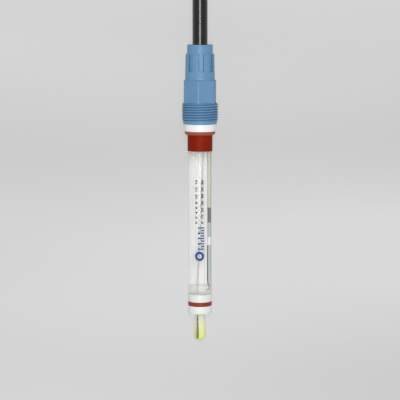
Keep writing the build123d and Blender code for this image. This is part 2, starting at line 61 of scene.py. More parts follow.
camera = bpy.data.objects.new("camera", bpy.data.cameras.new("camera"))
bpy.context.scene.collection.objects.link(camera)
bpy.context.scene.camera = camera
camera.data.sensor_width = 36
camera.data.lens = 36 * focal_pixels / 400
camera.data.clip_start = 0.02
camera.location = electrode @ Vector((0, camera_station, camera_height))
sight = -upward * cos(camera_tilt) - along * sin(camera_tilt)
camera_up = along * cos(camera_tilt) - upward * sin(camera_tilt)
camera.matrix_world = Matrix.Translation(camera.location) @ Matrix(
    (sight.cross(camera_up), camera_up, -sight)
).transposed().to_4x4()
bpy.context.scene.view_settings.view_transform = "Standard"
bpy.context.scene.cycles.transparent_max_bounces = 24


# Bench and light: a matt, pale grey table, an even white room, and a long softbox over it.
# Its grey is painted in soft slanted bands of light and shade; it shows that grey to the
# camera and in the glass, and still takes a shadow.
bench = bpy.data.objects.new("bench", bpy.data.meshes.new("bench"))
bench.data.from_pydata(
    [(-3, -3, -0.0001), (3, -3, -0.0001), (3, 3, -0.0001), (-3, 3, -0.0001)],
    [],
    [(0, 1, 2, 3)],
)
bpy.context.scene.collection.objects.link(bench)

bench_paint = bpy.data.materials.new("bench_paint")
bench_paint.use_nodes = True
nodes = bench_paint.node_tree.nodes
links = bench_paint.node_tree.links
nodes.clear()
where = nodes.new("ShaderNodeTexCoord")
# Painted light and shade: the grey runs in soft, slanted bands, lighter and darker.
slant = nodes.new("ShaderNodeMapping")
slant.inputs["Rotation"].default_value = (0, 0, radians(-28))
slant.inputs["Scale"].default_value = (1.6, 9.0, 1.0)
cloud = nodes.new("ShaderNodeTexNoise")
cloud.inputs["Scale"].default_value = 1.0
cloud.inputs["Detail"].default_value = 1.0
tone = nodes.new("ShaderNodeValToRGB")
tone.color_ramp.elements[0].position = 0.35
tone.color_ramp.elements[0].color = (0.60, 0.60, 0.605, 1)
tone.color_ramp.elements[1].position = 0.65
tone.color_ramp.elements[1].color = (0.70, 0.70, 0.70, 1)
shown = nodes.new("ShaderNodeEmission")
matt = nodes.new("ShaderNodeBsdfDiffuse")
rays = nodes.new("ShaderNodeLightPath")
either = nodes.new("ShaderNodeMath")
either.operation = "MAXIMUM"
any_view = nodes.new("ShaderNodeMath")
any_view.operation = "MAXIMUM"
share = nodes.new("ShaderNodeMath")
share.operation = "MULTIPLY"
share.inputs[1].default_value = 0.8
blend = nodes.new("ShaderNodeMixShader")
out = nodes.new("ShaderNodeOutputMaterial")
links.new(where.outputs["Object"], slant.inputs["Vector"])
links.new(slant.outputs["Vector"], cloud.inputs["Vector"])
links.new(cloud.outputs["Fac"], tone.inputs["Fac"])
links.new(tone.outputs["Color"], shown.inputs["Color"])
links.new(tone.outputs["Color"], matt.inputs["Color"])
links.new(rays.outputs["Is Camera Ray"], either.inputs[0])
links.new(rays.outputs["Is Glossy Ray"], either.inputs[1])
links.new(either.outputs[0], any_view.inputs[0])
links.new(rays.outputs["Is Transmission Ray"], any_view.inputs[1])
links.new(any_view.outputs[0], share.inputs[0])
links.new(share.outputs[0], blend.inputs["Fac"])
links.new(matt.outputs[0], blend.inputs[1])
links.new(shown.outputs[0], blend.inputs[2])
links.new(blend.outputs[0], out.inputs["Surface"])
bench.data.materials.append(bench_paint)

room = bpy.data.worlds.new("room")
room.use_nodes = True
room.node_tree.nodes["Background"].inputs["Color"].default_value = (0.97, 0.98, 1.0, 1)
room.node_tree.nodes["Background"].inputs["Strength"].default_value = 0.38
bpy.context.scene.world = room

softbox = bpy.data.lights.new("softbox_over", "AREA")
softbox.shape = "RECTANGLE"
softbox.size = 0.15
softbox.size_y = 0.9
softbox.energy = 7.3
lamp = bpy.data.objects.new("softbox_over", softbox)
lamp.location = (0.02, 0.14, 1.0)
lamp.rotation_euler = (Vector((0, 0.02, 0)) - lamp.location).to_track_quat("-Z", "Y").to_euler()
bpy.context.scene.collection.objects.link(lamp)


# Head: one blue moulding with a cable collar, a tapered grip with eight slots, a spanner
# hexagon and a right-hand process thread. The glass is potted into the bore from below.
head_foot = 4.1
skirt_radius = 9.55
thread_foot = 6.0
thread_top = 15.65
thread_pitch = 1.411
thread_root = 9.53
thread_crest = 10.2
first_crest = 7.2975
hexagon_top = 28.65
hexagon_flat = 8.6
hexagon_turn = radians(-6)
hexagon_round = 1.3
chamfer_start = 8.52
chamfer_slope = radians(30)
run_out_radius = 9.75
grip_top = 43.0
grip_widest = 8.25
grip_taper = 0.25
slot_turn = radians(4.5)
slot_floor = 7.2
slot_foot = 33.15
slot_half = radians(9.2)
slot_wall = radians(10.0)
head_top = 48.2
cable_collar = 7.13
cable_bore = 4.3
well_radius = 5.9
well_top = 39.1
socket_radius = 6.8
socket_top = 26.1


def hexagon_radius(angle):
    """How far out the hexagon's side is, with its corners rounded."""
    off_corner = abs((angle - hexagon_turn + pi / 6) % (pi / 3) - pi / 6)
    centre = hexagon_flat / cos(pi / 6) - hexagon_round / cos(pi / 6)
    touch = atan2(hexagon_round / 2, centre + hexagon_round * cos(pi / 6))
    if off_corner < touch:
        reach = hexagon_round**2 - (centre * sin(off_corner)) ** 2
        return centre * cos(off_corner) + sqrt(reach)
    return hexagon_flat / cos(pi / 6 - off_corner)


def off_slot(angle):
    """How far an angle is from the middle of the nearest slot."""
    return abs((angle - slot_turn + pi / 8) % (pi / 4) - pi / 8)


def grip_radius(angle, station, slotted):
    """The grip's cone, or the flat floor of a slot."""
    cone = grip_widest - grip_taper * (station - hexagon_top) / (grip_top - hexagon_top)
    if slotted and off_slot(angle) < slot_half:
        return slot_floor / cos(off_slot(angle))
    if slotted and off_slot(angle) < slot_wall:
        return cone - 0.1
    return cone


def thread_radius(angle, station):
    """The rounded thread, fading out at both ends."""
    turns = (station - first_crest) / thread_pitch - angle / (2 * pi)
    off_crest = abs((turns + 0.5) % 1 - 0.5)
    rise = min(1, max(0, (0.43 - off_crest) / 0.33))
    ends = min(1, max(0, min(station - thread_foot, thread_top - station) / 0.45))
    return thread_root + (thread_crest - thread_root) * rise * rise * (3 - 2 * rise) * ends


def ringed(mesh, place, rings, closed):
    """Skins a stack of rings of (radius, angle, station) with faces, round and round."""
    made = [
        [mesh.verts.new(place @ Vector((r * sin(a), s, r * cos(a)))) for r, a, s in ring]
        for ring in rings
    ]
    for low, high in zip(made, made[1:] + made[:1] if closed else made[1:]):
        for i in range(len(low)):
            j = (i + 1) % len(low)
            mesh.faces.new((low[i], low[j], high[j], high[i]))


def finished_mesh(name, mesh, sharp):
    """Joins doubled points, faces outwards, and makes the piece an object."""
    bmesh.ops.remove_doubles(mesh, verts=mesh.verts, dist=2e-7)
    bmesh.ops.dissolve_degenerate(mesh, edges=mesh.edges, dist=1e-7)
    bmesh.ops.recalc_face_normals(mesh, faces=mesh.faces)
    shape = bpy.data.meshes.new(name)
    mesh.to_mesh(shape)
    mesh.free()
    shape.shade_smooth()
    shape.set_sharp_from_angle(angle=radians(sharp))
    piece = bpy.data.objects.new(name, shape)
    bpy.context.scene.collection.objects.link(piece)
    return piece


def finish(name, light, dark, grain, roughness, relief, metallic=0.0, shine=0.5, stretch=1.0):
    """A surface with cloudy colour and gloss and a fine relief. Grain is in millimetres."""
    made = bpy.data.materials.new(name)
    made.use_nodes = True
    nodes = made.node_tree.nodes
    links = made.node_tree.links
    shader = nodes["Principled BSDF"]
    shader.inputs["Metallic"].default_value = metallic
    shader.inputs["Specular IOR Level"].default_value = shine
    where = nodes.new("ShaderNodeTexCoord")
    spread = nodes.new("ShaderNodeMapping")
    spread.inputs["Scale"].default_value = (1, stretch, 1)
    cloud = nodes.new("ShaderNodeTexNoise")
    cloud.inputs["Scale"].default_value = 1000 / (8 * grain)
    cloud.inputs["Detail"].default_value = 6
    tone = nodes.new("ShaderNodeValToRGB")
    tone.color_ramp.elements[0].position = 0.3
    tone.color_ramp.elements[0].color = (*dark, 1)
    tone.color_ramp.elements[1].position = 0.7
    tone.color_ramp.elements[1].color = (*light, 1)
    gloss = nodes.new("ShaderNodeMapRange")
    gloss.inputs["To Min"].default_value = roughness * 0.85
    gloss.inputs["To Max"].default_value = min(1, roughness * 1.15)
    pores = nodes.new("ShaderNodeTexNoise")
    pores.inputs["Scale"].default_value = 1000 / grain
    pores.inputs["Detail"].default_value = 3
    bump = nodes.new("ShaderNodeBump")
    bump.inputs["Distance"].default_value = relief / 1000
    bump.inputs["Strength"].default_value = 0.6
    links.new(where.outputs["Object"], spread.inputs["Vector"])
    links.new(spread.outputs["Vector"], cloud.inputs["Vector"])
    links.new(spread.outputs["Vector"], pores.inputs["Vector"])
    links.new(cloud.outputs["Fac"], tone.inputs["Fac"])
    links.new(tone.outputs["Color"], shader.inputs["Base Color"])
    links.new(cloud.outputs["Fac"], gloss.inputs["Value"])
    links.new(gloss.outputs["Result"], shader.inputs["Roughness"])
    links.new(pores.outputs["Fac"], bump.inputs["Height"])
    links.new(bump.outputs["Normal"], shader.inputs["Normal"])
    return made


angles = set()
for slot in range(8):
    middle = slot_turn + slot * pi / 4
    for off in (-11.0, -10.2, -9.7, -9.0, 9.0, 9.7, 10.2, 11.0):
        angles.add(round((middle + radians(off)) % (2 * pi), 6))
for corner in range(6):
    for off in (-4.6, -3.4, -2.3, -1.1, 0, 1.1, 2.3, 3.4, 4.6):
        angles.add(round((hexagon_turn + corner * pi / 3 + radians(off)) % (2 * pi), 6))
for step in range(240):
    even = step * pi / 120
    if all(abs((even - other + pi) % (2 * pi) - pi) > radians(0.7) for other in angles):
        angles.add(round(even, 6))
angles = sorted(angles)


def head_ring(station, radius):
    """One ring of the head, of a plain radius or one that changes with the angle."""
    if callable(radius):
        return [(radius(a), a, station) for a in angles]
    return [(radius, a, station) for a in angles]


lower_rings = [
    head_ring(thread_foot, thread_root),
    head_ring(thread_foot, skirt_radius - 0.1),
    head_ring(thread_foot - 0.12, skirt_radius),
    head_ring(head_foot + 0.5, skirt_radius),
    head_ring(head_foot + 0.2, skirt_radius - 0.13),
    head_ring(head_foot, skirt_radius - 0.45),
    head_ring(head_foot, socket_radius),
    head_ring(socket_top, socket_radius),
    head_ring(socket_top, well_radius),
    head_ring(well_top, well_radius),
    head_ring(well_top, cable_bore),
    head_ring(head_top - 0.3, cable_bore),
    head_ring(head_top, cable_bore + 0.3),
    head_ring(head_top, cable_collar - 0.38),
    head_ring(head_top - 0.05, cable_collar - 0.16),
    head_ring(head_top - 0.2, cable_collar - 0.05),
    head_ring(head_top - 0.45, cable_collar),
    head_ring(grip_top + 0.12, cable_collar),
    head_ring(grip_top, cable_collar + 0.03),
]
upper_rings = [head_ring(grip_top, lambda a: grip_radius(a, grip_top, True) - 0.12)]
for station in (grip_top - 0.15, grip_top - 1, 40, 38, 36, slot_foot + 0.9, slot_foot + 0.12):
    upper_rings.append(head_ring(station, lambda a, s=station: grip_radius(a, s, True)))
for station in (slot_foot, 33, 32, 31, 30, hexagon_top + 0.3):
    upper_rings.append(head_ring(station, lambda a, s=station: grip_radius(a, s, False)))
upper_rings.append(head_ring(hexagon_top + 0.08, 8.33))
upper_rings.append(head_ring(hexagon_top, 8.5))
for fall in (0.02, 0.14, 0.28, 0.42, 0.56, 0.7, 0.85, 1.0):
    cone = chamfer_start + fall / tan(chamfer_slope)
    station = hexagon_top - fall
    upper_rings.append(
        head_ring(station, lambda a, c=cone: min(hexagon_radius(a), c))
    )
for station in (27, 24, 21, 18, thread_top + 0.15):
    upper_rings.append(head_ring(station, hexagon_radius))
upper_rings.append(head_ring(thread_top, lambda a: min(hexagon_radius(a), run_out_radius) - 0.12))
upper_rings.append(head_ring(thread_top, thread_root))

head_mesh = bmesh.new()
ringed(head_mesh, electrode, lower_rings + upper_rings, False)
steps = 20
strands = []
for a in angles + [2 * pi]:
    strand = []
    for k in range(round(steps * ((thread_top - thread_foot) / thread_pitch + 1)) + 1):
        station = thread_foot + thread_pitch * (k / steps - 1 + a / (2 * pi))
        station = min(thread_top, max(thread_foot, station))
        r = thread_radius(a, station)
        strand.append(head_mesh.verts.new(electrode @ Vector((r * sin(a), station, r * cos(a)))))
    strands.append(strand)
for here, there in zip(strands, strands[1:]):
    for k in range(len(here) - 1):
        head_mesh.faces.new((here[k], there[k], there[k + 1], here[k + 1]))
head = finished_mesh("head_moulding", head_mesh, 28)
back_to_local = electrode.inverted()
for edge in head.data.edges:
    ends = [back_to_local @ head.data.vertices[v].co for v in edge.vertices]
    if all(thread_foot + 0.1 < end.y < thread_top - 0.1 for end in ends):
        if all(Vector((end.x, end.z)).length > thread_root - 0.01 for end in ends):
            edge.use_edge_sharp = False
moulded_blue = finish(
    "moulded_blue", (0.146, 0.300, 0.492), (0.135, 0.282, 0.470), 0.5, 0.42, 0.010, shine=0.35
)
# Painted shade: a darker blue for the thread's roots and the slots' side walls, where shade falls.
painted_groove_shade = finish(
    "painted_groove_shade", (0.066, 0.165, 0.290), (0.056, 0.148, 0.262), 0.5, 0.6, 0.010, shine=0.2
)
head.data.materials.append(moulded_blue)
head.data.materials.append(painted_groove_shade)
# Faces low in the thread's roots, and at the slots' sides, take the painted shade.
shaded_groove_depth = 0.12
shaded_slot_edge = radians(8.7)
for face in head.data.polygons:
    middle = back_to_local @ face.center
    if thread_foot + 0.1 < middle.y < thread_top - 0.1:
        rise = Vector((middle.x, middle.z)).length - thread_root
        if -0.05 < rise < shaded_groove_depth:
            face.material_index = 1
    elif slot_foot < middle.y < grip_top - 0.1:
        if shaded_slot_edge < off_slot(atan2(middle.x, middle.z)) < slot_wall:
            face.material_index = 1
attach(head, "electrode")
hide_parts("head_cap")


# Gate mark: the small round scar under the middle slot, where the plastic went in. It is a
# shallow rim with a dimple, part of the same moulding.
gate_below_slot = 2.0
gate_reach = 8.16
gate_facing = Vector((sin(slot_turn), 0, cos(slot_turn)))
gate_spot = Vector((0, slot_foot - gate_below_slot, 0)) + gate_facing * gate_reach
gate_place = electrode @ Matrix(
    (Vector((cos(slot_turn), 0, -sin(slot_turn))), gate_facing, Vector((0, -1, 0)))
).transposed().to_4x4()
gate_place.translation = electrode @ gate_spot
gate_mesh = bmesh.new()
turns = [2 * pi * i / 32 for i in range(32)]
gate_outline = [
    (0, -0.2),
    (0, 0.02),
    (0.35, 0.04),
    (0.6, 0.1),
    (1.15, 0.1),
    (1.35, 0.06),
    (1.42, 0),
    (1.42, -0.2),
]
ringed(gate_mesh, gate_place, [[(r, a, s) for a in turns] for r, s in gate_outline], True)
gate = finished_mesh("gate_mark", gate_mesh, 70)
gate_blue = finish(
    "gate_blue", (0.175, 0.330, 0.500), (0.160, 0.310, 0.475), 0.3, 0.6, 0.02, shine=0.3
)
gate.data.materials.append(gate_blue)
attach(gate, "electrode")


# Potting: black resin cast round the cable's end and the top of the glass. It is seen only
# where the head is open, as a dull film at the foot of the cable's bore.
def repaint(node, material):
    """Gives a solid that keeps its shape a finish of its own."""
    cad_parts[node].data.materials.clear()
    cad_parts[node].data.materials.append(material)


repaint(
    "head_potting",
    finish("potting_resin", (0.02, 0.02, 0.022), (0.012, 0.012, 0.014), 0.8, 0.3, 0.02),
)


# Thrust washer: a turned white ring between the head and the process seal. Its edges are
# broken, and it turns on the sleeve of the glass with a hair's clearance.
def turned(name, outline, place, columns=128, sharp=32):
    """A closed outline of (radius, station, easing of the corner) turned round the axis."""
    eased = []
    count = len(outline)
    for i in range(count):
        r, s, ease = outline[i]
        if ease == 0:
            eased.append((r, s))
            continue
        here = Vector((r, s))
        back = Vector(outline[i - 1][:2]) - here
        on = Vector(outline[(i + 1) % count][:2]) - here
        start = here + back.normalized() * ease
        end = here + on.normalized() * ease
        for t in (0, 0.17, 0.33, 0.5, 0.67, 0.83, 1):
            point = start * (1 - t) ** 2 + here * 2 * t * (1 - t) + end * t**2
            eased.append((point.x, point.y))
    mesh = bmesh.new()
    turns = [2 * pi * i / columns for i in range(columns)]
    ringed(mesh, place, [[(r, a, s) for a in turns] for r, s in eased], True)
    return finished_mesh(name, mesh, sharp)


def fit(piece, material, slot, *nodes):
    """Gives a piece its finish, its place on the electrode, and the solid it stands for."""
    piece.data.materials.append(material)
    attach(piece, "electrode")
    if nodes:
        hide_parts(*nodes)
    return piece


washer_radius = 8.85
ring_bore = 6.75
white_plastic = finish("white_plastic", (0.93, 0.93, 0.92), (0.91, 0.91, 0.90), 0.7, 0.4, 0.008)
fit(
    turned(
        "white_washer",
        [
            (ring_bore, 0, 0.1),
            (washer_radius, 0, 0.3),
            (washer_radius, head_foot, 0.3),
            (ring_bore, head_foot, 0.1),
        ],
        electrode,
    ),
    white_plastic,
    "white_plastic",
    "thrust_washer",
)


# Process seal: an orange-red rubber ring, squeezed up against the washer. Its lower edge
# is the round of the ring, and its upper edge is flattened.
seal_radius = 8.6
seal_foot = -2.2
seal_rubber = finish(
    "seal_rubber", (0.42, 0.095, 0.055), (0.36, 0.078, 0.045), 0.6, 0.45, 0.02, shine=0.2
)
fit(
    turned(
        "process_seal",
        [
            (ring_bore, seal_foot, 0),
            (seal_radius, seal_foot, 1.7),
            (seal_radius, -0.02, 0.25),
            (ring_bore, -0.02, 0),
        ],
        electrode,
    ),
    seal_rubber,
    "seal_rubber",
    "seal_ring",
)


# Sleeve: deep red tube shrunk on the top of the glass. It hides the end of the gel, and
# its cut edge is a little thick and uneven.
sleeve_foot = -11.1
sleeve_red = finish(
    "sleeve_red", (0.255, 0.0145, 0.0018), (0.215, 0.011, 0.0013), 0.9, 0.5, 0.012, shine=0.08
)
fit(
    turned(
        "red_sleeve",
        [
            (ring_bore, sleeve_foot, 0),
            (7.02, sleeve_foot, 0.08),
            (7.02, sleeve_foot + 0.5, 0.1),
            (6.98, sleeve_foot + 0.9, 0.1),
            (6.99, -6.5, 0),
            (7.0, seal_foot, 0.05),
            (ring_bore, seal_foot, 0),
        ],
        electrode,
    ),
    sleeve_red,
    "sleeve_plastic",
    "shaft_sleeve",
)


# Shaft: a drawn glass tube with fire-polished ends, full of gel. The inner wall touches
# the gel, so light bends only at the outer one. Lamps shine through to what is inside.
def liquid_glass(name, tint, bend, roughness):
    """Clear stuff that bends light at its skin but lets lamps and soft light through."""
    made = bpy.data.materials.new(name)
    made.use_nodes = True
    nodes = made.node_tree.nodes
    links = made.node_tree.links
    shader = nodes["Principled BSDF"]
    shader.inputs["Base Color"].default_value = (*tint, 1)
    shader.inputs["Transmission Weight"].default_value = 1
    shader.inputs["Specular IOR Level"].default_value = 0.25
    shader.inputs["IOR"].default_value = bend
    where = nodes.new("ShaderNodeTexCoord")
    cloud = nodes.new("ShaderNodeTexNoise")
    cloud.inputs["Scale"].default_value = 120
    smear = nodes.new("ShaderNodeMapRange")
    smear.inputs["To Min"].default_value = 0
    smear.inputs["To Max"].default_value = roughness
    open_way = nodes.new("ShaderNodeBsdfTransparent")
    open_way.inputs["Color"].default_value = (*tint, 1)
    rays = nodes.new("ShaderNodeLightPath")
    either = nodes.new("ShaderNodeMath")
    either.operation = "MAXIMUM"
    blend = nodes.new("ShaderNodeMixShader")
    links.new(where.outputs["Object"], cloud.inputs["Vector"])
    links.new(cloud.outputs["Fac"], smear.inputs["Value"])
    links.new(smear.outputs["Result"], shader.inputs["Roughness"])
    links.new(rays.outputs["Is Shadow Ray"], either.inputs[0])
    links.new(rays.outputs["Is Diffuse Ray"], either.inputs[1])
    links.new(either.outputs[0], blend.inputs["Fac"])
    links.new(shader.outputs[0], blend.inputs[1])
    links.new(open_way.outputs[0], blend.inputs[2])
    links.new(blend.outputs[0], nodes["Material Output"].inputs["Surface"])
    return made


def veil(
    name, light, dark, cover, grain,
    end_station=0.0, end_cover=None, reach=10.0, end_tint=None, through=0.3,
):
    """A thin milky skin: part of the light goes straight on, and the rest is scattered.
    The cover can change along the electrode, towards an end station."""
    made = bpy.data.materials.new(name)
    made.use_nodes = True
    nodes = made.node_tree.nodes
    links = made.node_tree.links
    nodes.remove(nodes["Principled BSDF"])
    where = nodes.new("ShaderNodeTexCoord")
    cloud = nodes.new("ShaderNodeTexNoise")
    cloud.inputs["Scale"].default_value = 1000 / grain
    tone = nodes.new("ShaderNodeValToRGB")
    tone.color_ramp.elements[0].position = 0.3
    tone.color_ramp.elements[0].color = (*dark, 1)
    tone.color_ramp.elements[1].position = 0.7
    tone.color_ramp.elements[1].color = (*light, 1)
    front = nodes.new("ShaderNodeBsdfDiffuse")
    behind = nodes.new("ShaderNodeBsdfTranslucent")
    milk = nodes.new("ShaderNodeMixShader")
    milk.inputs["Fac"].default_value = through
    open_way = nodes.new("ShaderNodeBsdfTransparent")
    blend = nodes.new("ShaderNodeMixShader")
    blend.inputs["Fac"].default_value = cover
    links.new(where.outputs["Object"], cloud.inputs["Vector"])
    links.new(cloud.outputs["Fac"], tone.inputs["Fac"])
    links.new(tone.outputs["Color"], front.inputs["Color"])
    links.new(tone.outputs["Color"], behind.inputs["Color"])
    links.new(front.outputs[0], milk.inputs[1])
    links.new(behind.outputs[0], milk.inputs[2])
    links.new(open_way.outputs[0], blend.inputs[1])
    links.new(milk.outputs[0], blend.inputs[2])
    if end_cover is not None:
        foot = electrode @ Vector((0, end_station, 0))
        fade = nodes.new("ShaderNodeMapRange")
        fade.inputs["From Min"].default_value = foot.y
        fade.inputs["From Max"].default_value = foot.y + reach / 1000
        fade.inputs["To Min"].default_value = end_cover
        fade.inputs["To Max"].default_value = cover
        split = nodes.new("ShaderNodeSeparateXYZ")
        links.new(where.outputs["Object"], split.inputs[0])
        links.new(split.outputs["Y"], fade.inputs["Value"])
        links.new(fade.outputs["Result"], blend.inputs["Fac"])
        if end_tint:
            along_it = nodes.new("ShaderNodeMapRange")
            along_it.inputs["From Min"].default_value = foot.y
            along_it.inputs["From Max"].default_value = foot.y + reach / 1000
            along_it.inputs["To Min"].default_value = 1
            along_it.inputs["To Max"].default_value = 0
            stain = nodes.new("ShaderNodeMix")
            stain.data_type = "RGBA"
            stain.inputs[7].default_value = (*end_tint, 1)
            links.new(split.outputs["Y"], along_it.inputs["Value"])
            links.new(along_it.outputs["Result"], stain.inputs[0])
            links.new(tone.outputs["Color"], stain.inputs[6])
            links.new(stain.outputs[2], front.inputs["Color"])
            links.new(stain.outputs[2], behind.inputs["Color"])
    links.new(blend.outputs[0], nodes["Material Output"].inputs["Surface"])
    return made


def line_inside(piece, lining, place):
    """Puts a second material on the faces that look in towards the axis."""
    piece.data.materials.append(lining)
    back = place.inverted()
    for face in piece.data.polygons:
        middle = back @ face.center
        facing = back.to_3x3() @ face.normal
        outward = Vector((middle.x, 0, middle.z)).normalized()
        if facing.normalized().dot(outward) < -0.3:
            face.material_index = 1


tube_radius = 6.7
tube_bore = 5.7
tube_foot = -92.45
drawn_glass = liquid_glass("drawn_glass", (1.0, 1.0, 1.0), 1.2, 0.02)
wet_wall = veil("wet_wall", (0.95, 0.97, 0.96), (0.93, 0.95, 0.94), 0.02, 6)
tube = fit(
    turned(
        "glass_tube",
        [
            (tube_bore, tube_foot, 0.3),
            (tube_radius, tube_foot, 0.3),
            (tube_radius, socket_top, 0.3),
            (tube_bore, socket_top, 0.3),
        ],
        electrode,
        columns=160,
        sharp=60,
    ),
    drawn_glass,
    "shaft_glass",
    "shaft_tube",
)
line_inside(tube, wet_wall, electrode)


# Stopper: a soft grey bung at the top of the glass, hidden in the head. It centres the
# stem and the reference tube and shuts in the gel.
repaint(
    "stem_stopper",
    finish("stopper_rubber", (0.62, 0.62, 0.60), (0.52, 0.52, 0.50), 0.7, 0.6, 0.04),
)


# Stem and bulb: one glass stem, widened at its foot and blown out into the thin sensing
# bulb. In the gel it shows as two fine lines; below the collar it is a bright skin.
stem_radius = 2.3
stem_top = 25.5
flare_top = -88.8
flare_height = 3.0
neck_radius = 3.1
neck_foot = -103.7
ball_radius = 3.7
ball_centre = -116.3
taper_height = 12.3
stem_wall = 0.45


def stem_outline(inset):
    """Half the section of stem and bulb, from the top down to the tip."""
    ball = ball_radius - inset
    neck = neck_radius - inset
    shank = stem_radius - inset
    points = [(shank, stem_top), (shank, -60), (shank, flare_top)]
    for step in range(1, 9):
        t = step / 8
        swell = (neck_radius - stem_radius) * t * t * (3 - 2 * t)
        points.append((shank + swell, flare_top - flare_height * t))
    points.append((neck, neck_foot))
    slope = atan2(ball - neck, taper_height) * 0.97
    for step in range(25):
        angle = slope + (-pi / 2 - slope) * step / 24
        points.append((max(ball * cos(angle), 0), ball_centre + ball * sin(angle)))
    return points


def stemmed(name, outline, columns=96):
    """Turns stem outlines that end on the axis."""
    mesh = bmesh.new()
    turns = [2 * pi * i / columns for i in range(columns)]
    ringed(mesh, electrode, [[(r, a, s) for a in turns] for r, s in outline], True)
    return finished_mesh(name, mesh, 50)


sensing_glass = liquid_glass("sensing_glass", (1.0, 1.0, 1.0), 1.10, 0.01)
stem_lining = liquid_glass("stem_lining", (1.0, 1.0, 1.0), 1.06, 0.01)
stem = fit(
    stemmed("glass_stem", stem_outline(0) + stem_outline(stem_wall)[::-1]),
    sensing_glass,
    "sensing_glass",
    "bulb_stem",
)
line_inside(stem, stem_lining, electrode)


# Buffer: the yellow-green filling of the bulb. It is palest in the neck and strongest at
# the rim and at the bottom, where the eye looks through the most of it.
def back_with_painted_light(piece, material):
    """Puts a paler, cloudier material on the faces that look down. It is painted light: a backing
    that stands in for the light seen through the glass.
    """
    piece.data.materials.append(material)
    for face in piece.data.polygons:
        if face.material_index == 0 and face.normal.dot(upward) < -0.05:
            face.material_index = len(piece.data.materials) - 1


buffer_top = -95.0
buffer_foot = -119
buffer_reach = 14.0
buffer_skin = veil(
    "buffer_yellow", (0.96, 0.97, 0.90), (0.95, 0.96, 0.88), 0.10, 14,
    buffer_foot, 0.24, buffer_reach, end_tint=(0.92, 0.98, 0.42),
)
# Painted light: a near-opaque pale yellow backing on the faces that look down, in place of the
# light seen through the bulb.
buffer_painted_light_backing = veil(
    "buffer_painted_light_backing", (0.985, 0.985, 0.95), (0.98, 0.98, 0.93), 0.92, 14,
    buffer_foot, 0.98, buffer_reach, end_tint=(0.94, 0.99, 0.33), through=0.04,
)
buffer_outline = [(0, buffer_top)]
buffer_outline += [(r, s) for r, s in stem_outline(stem_wall + 0.05) if s < buffer_top]
buffer = fit(
    stemmed("buffer_liquid", buffer_outline), buffer_skin, "buffer_liquid", "buffer_fill"
)
# Its underside takes the painted-light backing.
back_with_painted_light(buffer, buffer_painted_light_backing)


# Sensing element: a dark rod of silver chloride beside the bulb's axis, with a thin neck
# under its top and a swollen, round tip. A beige lead runs down the stem to it, and slants
# across on its way.
element_dark = finish("element_dark", (0.10, 0.11, 0.085), (0.05, 0.055, 0.045), 0.4, 0.5, 0.04)
element_offset = -1.3
element_top = -99.7
rod_radius = 0.45
tip_radius = 0.72
element_place = electrode @ Matrix.Translation((element_offset, 0, 0))
element_outline = [
    (0, element_top),
    (0.5, element_top),
    (0.5, -105.0),
    (0.2, -105.4),
    (0.2, -106.2),
    (rod_radius, -106.8),
]
for step in range(13):
    t = step / 12
    swell = (tip_radius - rod_radius) * t * t * (3 - 2 * t)
    element_outline.append((rod_radius + swell, -110 - 7 * t))
for step in range(1, 10):
    t = pi / 2 * step / 9
    element_outline.append((tip_radius * cos(t), -117.9 - tip_radius * sin(t)))
mesh = bmesh.new()
turns = [2 * pi * i / 24 for i in range(24)]
ringed(mesh, element_place, [[(max(r, 0), a, s) for a in turns] for r, s in element_outline], True)
fit(finished_mesh("silver_element", mesh, 50), element_dark, "dark_element", "inner_element")


def rod(name, route, thickness, material, slot, *nodes):
    """A thin rod or lead through points of (offset, station), and lift if it has any."""
    line = bpy.data.curves.new(name, "CURVE")
    line.dimensions = "3D"
    line.bevel_depth = thickness / 2000
    line.bevel_resolution = 5
    line.resolution_u = 10
    line.use_fill_caps = True
    run = line.splines.new("NURBS")
    run.points.add(len(route) - 1)
    for point, (x, s, *lift) in zip(run.points, route):
        spot = electrode @ Vector((x, s, lift[0] if lift else 0))
        point.co = (*spot, 1)
    run.order_u = 3
    run.use_endpoint_u = True
    piece = bpy.data.objects.new(name, line)
    bpy.context.scene.collection.objects.link(piece)
    return fit(piece, material, slot, *nodes)


lead_thickness = 0.5
beige_lead = finish("beige_lead", (0.67, 0.65, 0.53), (0.62, 0.60, 0.49), 0.8, 0.5, 0.01)
rod(
    "stem_lead",
    [
        (1.35, stem_top),
        (1.35, 2),
        (1.3, -14),
        (0.5, -42),
        (-0.5, -72),
        (-1.15, -92),
        (element_offset, element_top - 0.1),
    ],
    lead_thickness,
    beige_lead,
    "beige_lead",
    "inner_lead",
)


# Reference half cell: a thin glass tube at the right of the stem. A beige lead comes down
# to a dark cartridge, over grey-green gel with a white plug of fibre in it.
reference_offset = 4.45
reference_radius = 1.1
reference_bore = 0.9
reference_foot = -87.2
reference_place = electrode @ Matrix.Translation((reference_offset, 0, 0))
reference_glass = liquid_glass("reference_glass", (0.97, 0.99, 0.98), 1.06, 0.01)
reference_lining = veil("reference_lining", (0.8, 0.84, 0.8), (0.7, 0.75, 0.7), 0.02, 4)
reference = fit(
    turned(
        "reference_glass_tube",
        [
            (reference_bore, reference_foot, 0.08),
            (reference_radius, reference_foot, 0.08),
            (reference_radius, stem_top, 0.05),
            (reference_bore, stem_top, 0.05),
        ],
        reference_place,
        columns=48,
        sharp=60,
    ),
    reference_glass,
    "reference_glass",
    "reference_tube",
)
line_inside(reference, reference_lining, reference_place)
grey_gel = finish("grey_gel", (0.52, 0.56, 0.52), (0.48, 0.52, 0.48), 1.6, 0.4, 0.01)
cartridge_dark = finish(
    "cartridge_dark", (0.11, 0.12, 0.11), (0.08, 0.09, 0.08), 0.4, 0.55, 0.03
)
white_fibre = finish("white_fibre", (0.98, 0.98, 0.975), (0.95, 0.955, 0.95), 0.15, 0.8, 0.08)
for node, material in [
    ("reference_lead", beige_lead),
    ("reference_cartridge", cartridge_dark),
    ("reference_gel", grey_gel),
    ("reference_wick", white_fibre),
]:
    repaint(node, material)


